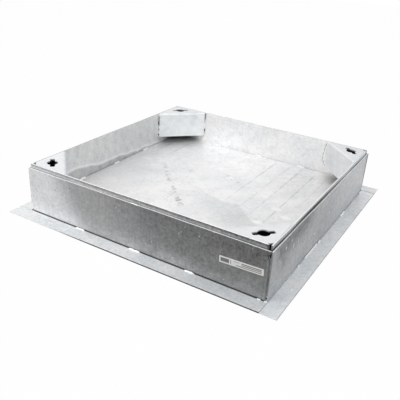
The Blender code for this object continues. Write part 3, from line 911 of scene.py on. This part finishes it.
for side, name in enumerate(SIDES):
    beads = stitches(FLOOR_STITCHES, side, 110, -FLOOR_REACH, FLOOR_TOP, 0.8, 0.25)
    make_piece(f"floor_weld_{name}", beads)
print("stitches", sum(map(len, FOOT_STITCHES.values())) + len(SIDES) * len(FLOOR_STITCHES))

# %% [markdown]
# Tacks run up both ends of each key box's face. At the back left there are specks of ash between them, and
# at the back right one long run of zinc with a crack along it fills the gap beside the face.

# %% Tacks, specks and the filled gap
HALF_FACE = BOX_HEIGHT - BOX_RELIEF
TACK_RADIUS = 0.0025
TACKS = {"front_left": ((-1, 0.03, 0.014), (-1, 0.066, 0.012), (1, 0.034, 0.013), (1, 0.064, 0.014)),
         "front_right": ((-1, 0.034, 0.013), (-1, 0.064, 0.012), (1, 0.03, 0.014), (1, 0.066, 0.012)),
         "back_right": ((-1, 0.05, 0.018), (-1, 0.071, 0.01), (1, 0.034, 0.013), (1, 0.064, 0.014)),
         "back_left": ((-1, 0.006, 0.006), (-1, 0.046, 0.01), (-1, 0.063, 0.01), (-1, 0.0745, 0.006),
                       (1, 0.045, 0.02), (1, 0.0745, 0.006))}
ASH_SPECKS = (
    (-1, 0.032, 0.01, 0.0014), (-1, 0.0705, 0.007, 0.0014), (1, 0.012, 0.02, 0.0006),
    (1, 0.059, 0.009, 0.0011))
FILLED_GAP = (
    (0.212, 0.126), (0.2085, 0.114), (0.2068, 0.1), (0.205, 0.085), (0.2062, 0.072),
    (0.211, 0.06), (0.218, 0.05))
CRACK_SHIFT = 0.0034


def face_bead(end, depth, length, radius, seed, out, y, corner):
    """A bead that runs up one end, -1 or 1, of a key box's face, at a depth below the rim."""
    return box_place(moved(stood_up(bead(length, radius, seed)), end * (HALF_FACE + out), y, -depth), corner)


def wandering(points, corners):
    """Lays a bead over a path of (x, z) corners on the inner face of the back wall."""
    along = points[..., 0]
    t = (along - along.min()) / (along.max() - along.min())
    path = np.array(corners)
    at = np.linspace(0, 1, len(path))
    return np.stack([np.interp(t, at, path[:, 0]) + points[..., 2],
                     TRAY_INSIDE - 0.0002 + 0.35 * points[..., 1], np.interp(t, at, path[:, 1])], axis=-1)


for corner, name in enumerate(CORNERS):
    beads = [face_bead(end, depth, length, TACK_RADIUS, 150 + 10 * corner + i, 0.0009, SHEET * 0.7, corner)
             for i, (end, depth, length) in enumerate(TACKS[name])]
    make_piece(f"box_tacks_{name}", beads)

specks = [face_bead(end, depth, length, radius, 190 + i, 0.0022, 0.0004, CORNERS.index("back_left"))
          for i, (end, depth, length, radius) in enumerate(ASH_SPECKS)]
make_piece("box_ash_back_left", specks)
crack = [(x - CRACK_SHIFT, z) for x, z in FILLED_GAP]
make_piece("box_run_back_right", [wandering(bead(0.08, 0.0026, 301), FILLED_GAP)])
make_piece("box_crack_back_right", [wandering(bead(0.074, 0.0008, 302), crack)])
print("tacks", sum(map(len, TACKS.values())))

# %% [markdown]
# The corner seam of the frame filled with zinc in the bath: a thin uneven bead stands in it. Zinc also froze
# in small drips on the edges and walls, and a few specks of dross from the bath stuck to the front.

# %% Seam, drips and specks
SEAM_LENGTH, SEAM_FOOT, SEAM_RADIUS = 0.098, 0.008, 0.0008
SIDE_DRIPS = (
    (-0.217, 0.079, 0.012), (-0.19, 0.081, 0.01), (-0.262, 0.096, 0.007), (-0.232, 0.1, 0.006),
    (-0.281, 0.072, 0.006), (-0.15, 0.088, 0.005), (0.02, 0.06, 0.004), (-0.08, 0.045, 0.004))
FRONT_DRIPS = ((0.115, 0.088, 0.003), (-0.055, 0.096, 0.006), (-0.047, 0.09, 0.004), (0.165, 0.098, 0.003))
DROSS_SPECKS = ((-0.243, 0.084), (-0.196, 0.102))


def drip(x, z, length, radius, seed, out=0.0):
    """A short bead down the outside of the front wall."""
    return moved(stood_up(bead(length, radius, seed)), x, -FRAME_HALF - out, z)


for side, name in enumerate(SIDES):
    seam = moved(stood_up(bead(SEAM_LENGTH, SEAM_RADIUS, 310 + side)), WALL_INSIDE - BUTT_GAP - 0.0004,
                 0.0002 - FRAME_HALF, SEAM_FOOT + SEAM_LENGTH / 2)
    seam[..., 0] += waviness(seam[..., 2], 0 * seam[..., 2], 0.0011, 320 + side, 0.015, 0.05)
    make_piece(f"corner_seam_{name}", [turned(seam, side)])

drips = [turned(drip(x, z, length, 0.0008, 330 + i, out=0.0001), 1)
         for i, (x, z, length) in enumerate(SIDE_DRIPS)]
drips += [drip(x, z, length, 0.0005, 350 + i) for i, (x, z, length) in enumerate(FRONT_DRIPS)]
drips += [moved(bead(0.022, 0.0013, 360), -0.003, 0.001 - FRAME_HALF, FRAME_HEIGHT - 0.0002),
          drip(0.3188, 0.106, 0.009, 0.0008, 361),
          turned(moved(bead(0.006, 0.0022, 362), -0.262, -FRAME_HALF - 0.024, SHEET), 1)]
make_piece("zinc_drips", drips)
specks = [moved(bead(0.0026, 0.0012, 370 + i), x, -FRAME_HALF, z) for i, (x, z) in enumerate(DROSS_SPECKS)]
make_piece("dross_specks", specks)
print("drips", len(drips), "specks", len(specks))

# %% [markdown]
# ## Sticker
# A small off-white sticker sits slightly askew near the right end of the front wall. It is a grid whose
# rows are as long as its round-cornered outline is at their height, and it follows the wall's dents. It
# carries no words: plain grey bars, kept as an attribute of the points, stand where a sticker is printed.

# %% Sticker
STICKER_LENGTH, STICKER_HEIGHT, STICKER_CORNER = 0.1014, 0.0158, 0.0015
STICKER_TILT = radians(2.6)
STICKER_MIDDLE = (0.2655, 0.0662)
STICKER_THICKNESS, STICKER_EDGE = 0.0002, 0.00006
STICKER_ROWS, STICKER_COLUMNS = 41, 240
INK_EDGE = 0.0003
INK_BARS = (
    (-0.0475, -0.0275, -0.0048, 0.0046, 0.8), (-0.0245, -0.0228, -0.0048, 0.0046, 0.75),
    (-0.017, -0.004, 0.0024, 0.004, 0.65), (0.001, 0.046, 0.0022, 0.0046, 0.8),
    (0.001, 0.046, -0.0014, 0.0008, 0.8), (-0.012, 0.046, -0.0052, -0.003, 0.8))


def between(x, low, high):
    """1 between low and high, with soft edges inside them."""
    return ramp(x, low, low + INK_EDGE) * ramp(x, high, high - INK_EDGE)


def ink(u, v):
    """How dark the print is. A bar has its two ends, its two sides and its depth."""
    dark = 0 * u
    for start, end, low, high, depth in INK_BARS:
        dark = np.maximum(dark, depth * between(u, start, end) * between(v, low, high))
    return dark


def sticker():
    """u runs along a row and v from row to row; a row's half length is shorter inside the corner rounds."""
    half_length, half_height = STICKER_LENGTH / 2, STICKER_HEIGHT / 2
    v = half_height * np.sin(np.linspace(-pi / 2, pi / 2, STICKER_ROWS))[:, None]
    into_corner = np.clip(np.abs(v) - (half_height - STICKER_CORNER), 0, STICKER_CORNER)
    row_half = half_length - STICKER_CORNER + np.sqrt(STICKER_CORNER ** 2 - into_corner ** 2)
    u = row_half * np.linspace(-1, 1, STICKER_COLUMNS)
    v = v + 0 * u
    x = STICKER_MIDDLE[0] + u * cos(STICKER_TILT) - v * sin(STICKER_TILT)
    z = STICKER_MIDDLE[1] + u * sin(STICKER_TILT) + v * cos(STICKER_TILT)
    y = -FRAME_HALF - frame_wave(x, z, 0) - STICKER_THICKNESS
    return np.stack([x, y, z], axis=-1), ink(u, v)


patch, printed = sticker()
thicken(make_piece("plain_sticker", [patch], ["label"], dull=[printed]), STICKER_THICKNESS,
        STICKER_EDGE)
print("sticker", STICKER_LENGTH, "x", STICKER_HEIGHT, "m with", len(INK_BARS), "bars")

# %% [markdown]
# ## Zinc
# Hot-dip galvanising leaves crystals of zinc, the spangle, in patches several millimetres wide that differ
# in lightness and gloss, with clouds, runs down the walls, thin veins and small flecks over them. The finish
# is built in that order on Object coordinates, in metres, so that each pattern's scale is one over its real
# size. Zinc is a soft grey metal that has weathered a little, so it is partly metallic and rather rough.

# %% Galvanised finish
SPANGLE_SIZE = 0.007
CLOUD_SIZE = 0.09
RUN_WIDTH, RUN_LENGTH = 0.006, 0.06
FLECK_SPACING = 0.019
GRAIN_SIZE = 0.0045
VEIN_SIZE, VEIN_WIDTH = 0.045, 0.022
ROUGHNESS = (0.36, 0.52)
# The last colour is the black of painted shade, and of the dirt in a seam.
COOL_TINT, FLECK_COLOUR, SHADE_AND_DIRT_COLOUR = "#8E99A2", "#E4E7E8", "#121212"


def zinc_veins(tree, place):
    """1 on thin wandering lines, where a slow noise crosses its middle value."""
    middle = maths(tree, "SUBTRACT", noise(tree, place, 1 / VEIN_SIZE, 5.0, 0.65, 0.6)["Fac"], 0.5)
    return ranged(tree, maths(tree, "ABSOLUTE", middle), 0.0, VEIN_WIDTH, 1.0, 0.0, "SMOOTHSTEP")


def zinc_flecks(tree, bent):
    """1 on small round dots of uneven size, one at most in each cell of a pattern."""
    dots = add_node(tree, "TexVoronoi", {"Vector": bent, "Scale": 1 / FLECK_SPACING, "Randomness": 1.0})
    draw = add_node(tree, "SeparateColor", {0: dots.outputs["Color"]}).outputs[1]
    return maths(tree, "GREATER_THAN", ranged(tree, draw, 0.45, 1.0, 0.0, 0.13), dots.outputs["Distance"])


def galvanised(name, light, dark, metallic=0.5, cloud=0.1, run=0.0, run_turn=(0, 0, 0), spangle=0.1,
               grain=0.25, vein=0.0, fleck=0.4, bright_gain=1.0):
    """Zinc between a light and a dark colour. The patterns and the piece's own painted light and marks choose
    the mix, a cool tint drifts over it, and flecks and the painted shade and dirt lie on top. bright_gain
    makes bright zinc livelier."""
    made = bpy.data.materials.new(name)
    tree = emptied(made)
    place = add_node(tree, "TexCoord").outputs["Object"]
    clouds = noise(tree, place, 1 / CLOUD_SIZE, 3.0)["Fac"]
    run_scale = (1 / RUN_WIDTH, 1 / RUN_WIDTH, 1 / RUN_LENGTH)
    stretched = add_node(tree, "Mapping", {"Vector": place, "Rotation": run_turn, "Scale": run_scale})
    runs = noise(tree, stretched.outputs[0], 1.0, 2.0, 0.6)["Fac"]
    grains = noise(tree, place, 1 / GRAIN_SIZE, 2.0, 0.7)
    bending = {"Factor": 0.0035, 4: place, 5: grains["Color"]}
    bent = add_node(tree, "Mix", bending, data_type="VECTOR").outputs[1]
    cells = {"Vector": bent, "Scale": 1 / SPANGLE_SIZE, "Smoothness": 0.4}
    crystals = add_node(tree, "TexVoronoi", cells, feature="SMOOTH_F1").outputs["Color"]
    crystal = add_node(tree, "SeparateColor", {0: crystals}).outputs[0]

    # The points' painted light and shade, with the zinc's own patches, choose between light and dark.
    dull = add_node(tree, "Attribute", attribute_name="dull").outputs["Fac"]
    total = 0.0
    weights = ((clouds, cloud * 2), (runs, run * 2), (crystal, spangle), (grains["Fac"], grain * 2))
    for pattern, weight in weights:
        total = maths(tree, "MULTIPLY_ADD", maths(tree, "SUBTRACT", pattern, 0.5), weight, total)
    total = maths(tree, "MULTIPLY_ADD", zinc_veins(tree, place), vein, total)
    total = maths(tree, "MULTIPLY_ADD", total, ranged(tree, dull, 0.12, 0.6, bright_gain, 1.0), dull)
    colour = blended(tree, add_node(tree, "Clamp", {0: total}).outputs[0], linear(light), linear(dark))
    colour = blended(tree, ranged(tree, clouds, 0.35, 0.7, 0.0, 0.12), colour, linear(COOL_TINT), "COLOR")
    flecks = maths(tree, "MULTIPLY", zinc_flecks(tree, bent), fleck)
    colour = blended(tree, flecks, colour, linear(FLECK_COLOUR))

    # The points' painted shade, and seam dirt, turn the zinc black, matt and not metallic.
    painted_shade_and_dirt = add_node(tree, "Attribute", attribute_name="painted_shade_and_dirt").outputs["Fac"]
    colour = blended(tree, painted_shade_and_dirt, colour, linear(SHADE_AND_DIRT_COLOUR))
    metal = maths(tree, "MULTIPLY", maths(tree, "SUBTRACT", 1.0, painted_shade_and_dirt), metallic)
    rough = maths(tree, "MULTIPLY_ADD", painted_shade_and_dirt, 0.35, ranged(tree, crystal, 0.2, 0.8, *ROUGHNESS))
    height = maths(tree, "MULTIPLY_ADD", grains["Fac"], 0.5, crystal)
    bump = add_node(tree, "Bump", {"Height": height, "Strength": 0.25, "Distance": 0.0004}).outputs[0]
    inputs = {"Base Color": colour, "Metallic": metal, "Roughness": rough, "Normal": bump}
    add_node(tree, "OutputMaterial", {"Surface": add_node(tree, "BsdfPrincipled", inputs).outputs[0]})
    return made


print("crystals", SPANGLE_SIZE, "m, clouds", CLOUD_SIZE, "m, flecks", FLECK_SPACING, "m apart")

# %% [markdown]
# The walls' zinc goes down to a dark grey outside, for their painted shade and dark painted reflection, and
# the tray is bright inside. Cut edges and welds carry thick bright zinc. The filled seam is a dirty grey, and
# dross and the crack are darker, from iron and flux ash in the zinc. The insides of the key boxes and the
# root bead along the front are near black, a painted shade.

# %% Kinds of zinc
FOOT_TURN = (radians(90), 0, radians(-30))
# Its dark end is for the walls' painted shade and dark painted reflection.
wall_zinc = galvanised(
    "dull_wall_zinc", "#E9E9EA", "#444542", cloud=0.06, run=0.07, spangle=0.05, grain=0.13, bright_gain=1.9)
rim_zinc = galvanised("bright_rim_zinc", "#F0F1F2", "#F0F1F2", metallic=0.3)
# Its dark end is for the dark painted reflection on the tray's outer faces.
outer_zinc = galvanised("tray_outside_zinc", "#D8D8D8", "#3C3D3B", run=0.08)
foot_zinc = galvanised(
    "foot_bar_zinc", "#F6F6F6", "#BEC2C4", metallic=0.4, cloud=0.3, run=0.4, run_turn=FOOT_TURN, grain=0.24,
    vein=0.2)
cut_zinc = galvanised("cut_edge_zinc", "#F4F4F4", "#D8DADB", metallic=0.3)
tray_zinc = galvanised(
    "bright_tray_zinc", "#F1F0EF", "#ABABAB", metallic=0.55, cloud=0.2, run=0.08, spangle=0.08, grain=0.2,
    vein=0.16)
plate_zinc = galvanised(
    "key_plate_zinc", "#F4F4F3", "#C2C5C8", metallic=0.4, cloud=0.22, run=0.04, spangle=0.06, grain=0.16,
    vein=0.14)
weld_zinc = galvanised("zinc_over_weld", "#F8F8F8", "#D8DADB", metallic=0.3, spangle=0.3)
# Near black: painted shade on the inside of the key boxes.
inner_zinc = galvanised("sooty_inside_zinc", "#2A2A2B", "#101010", metallic=0.2, fleck=0.0)
seam_zinc = galvanised("dirty_seam_zinc", "#8C8E8A", "#5A5C58", metallic=0.4, spangle=0.5, fleck=0.0)
root_zinc = galvanised(
    "cloudy_root_zinc", "#D6D8DA", "#A8AAAC", metallic=0.4, spangle=0.5, grain=0.4, fleck=0.0)
# Also the near-black root bead along the front, a painted shade in the groove.
dross = galvanised("dark_dross", "#3A3835", "#1E1C1A", metallic=0.2, fleck=0.0)
crack_zinc = galvanised("ash_filled_crack", "#8E8C84", "#55534D", metallic=0.2, spangle=0.6, fleck=0.0)
print("materials", [made.name for made in bpy.data.materials])

# %% [markdown]
# The sticker is matt coated paper, off-white with a fine grain, and its bars come from the points' marks.
# The grain is about a millimetre wide, coarser than in real paper, so that it shows.

# %% Sticker finish
FIBRE_SIZE = 1 / 900

paper = bpy.data.materials.new("coated_sticker_paper")
tree = emptied(paper)
fibres = noise(tree, add_node(tree, "TexCoord").outputs["Object"], 1 / FIBRE_SIZE, 2.0)["Fac"]
printed = add_node(tree, "Attribute", attribute_name="dull").outputs["Fac"]
inked = blended(tree, printed, blended(tree, fibres, linear("#EFEEEA"), linear("#DEDDD8")), linear("#2C2C2C"))
shader = add_node(tree, "BsdfPrincipled", {"Base Color": inked, "Roughness": 0.45})
add_node(tree, "OutputMaterial", {"Surface": shader.outputs[0]})
print("sticker finish", paper.name, "with", len(tree.nodes), "nodes")

# %% [markdown]
# A piece gets its finishes by the start of its name. The second one is for a sheet's cut edges or its
# inner side. The stiffeners are the CAD model's own pieces and wear the tray's zinc.

# %% Give each piece its finish
FINISHES = (
    ("frame_wall", wall_zinc, rim_zinc), ("foot_strip", foot_zinc, cut_zinc),
    ("tray_side", outer_zinc, tray_zinc), ("tray_base", tray_zinc),
    ("lifting_box", plate_zinc, inner_zinc), ("plain_sticker", paper),
    (("foot_weld", "floor_weld", "box_tacks", "box_run", "zinc_drips"), weld_zinc),
    (("root_fill_right", "root_fill_back", "root_fill_left"), root_zinc),
    # The root bead along the front gets the near-black finish, a painted shade in the groove.
    (("root_fill_front", "box_ash", "dross_specks"), dross),
    ("box_crack", crack_zinc), ("corner_seam", seam_zinc))
for stems, *finishes in FINISHES:
    for name, piece in pieces.items():
        if name.startswith(stems):
            for finish in finishes:
                piece.data.materials.append(finish)
for name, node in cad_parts.items():
    if name.startswith("stiffener"):
        node.data.materials.clear()
        node.data.materials.append(tray_zinc)
print(len(pieces), "pieces, bare ones:", [p.name for p in pieces.values() if not p.data.materials])
